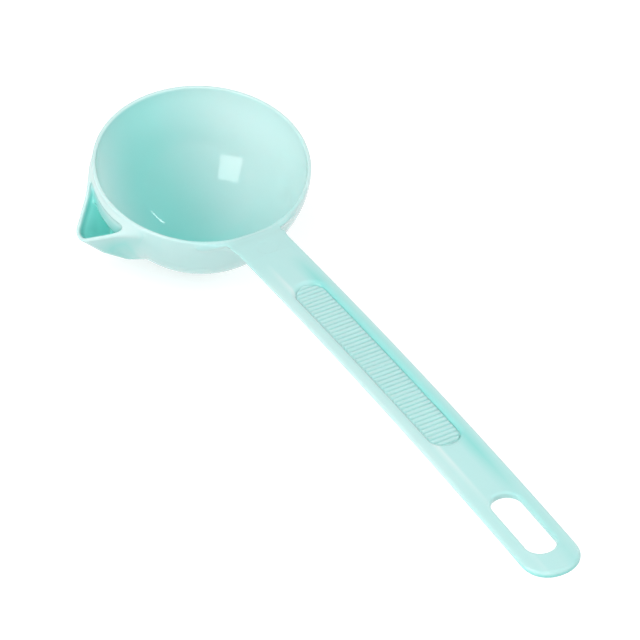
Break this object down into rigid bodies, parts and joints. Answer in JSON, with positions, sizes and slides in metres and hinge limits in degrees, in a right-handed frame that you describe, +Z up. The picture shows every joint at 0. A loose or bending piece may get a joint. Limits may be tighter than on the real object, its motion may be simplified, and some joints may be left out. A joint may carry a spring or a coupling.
{
  "type": "fat separator ladle",
  "caption": "Soup ladle with a hemispherical bowl, a pouring pocket fed by a port low in the bowl's side, and a long bowed handle with a ribbed grip and a hang slot.",
  "frame": {"origin": "middle of the flat foot under the bowl, where the bowl stands on a table", "axes": "+Z up along the bowl's axis, +X along the handle away from the bowl, the pouring pocket on -Y"},
  "size_m": [0.3276, 0.1015, 0.0964],
  "materials": {
    "mint_plastic": "glossy, slightly translucent mint polypropylene",
    "grip_plastic": "satin mint polypropylene, ribbed"
  },
  "bodies": {
    "root": {"bowl": "mint_plastic", "pouring_pocket": "mint_plastic", "handle": "mint_plastic", "grip_panel": "grip_plastic"}
  },
  "joints": []
}
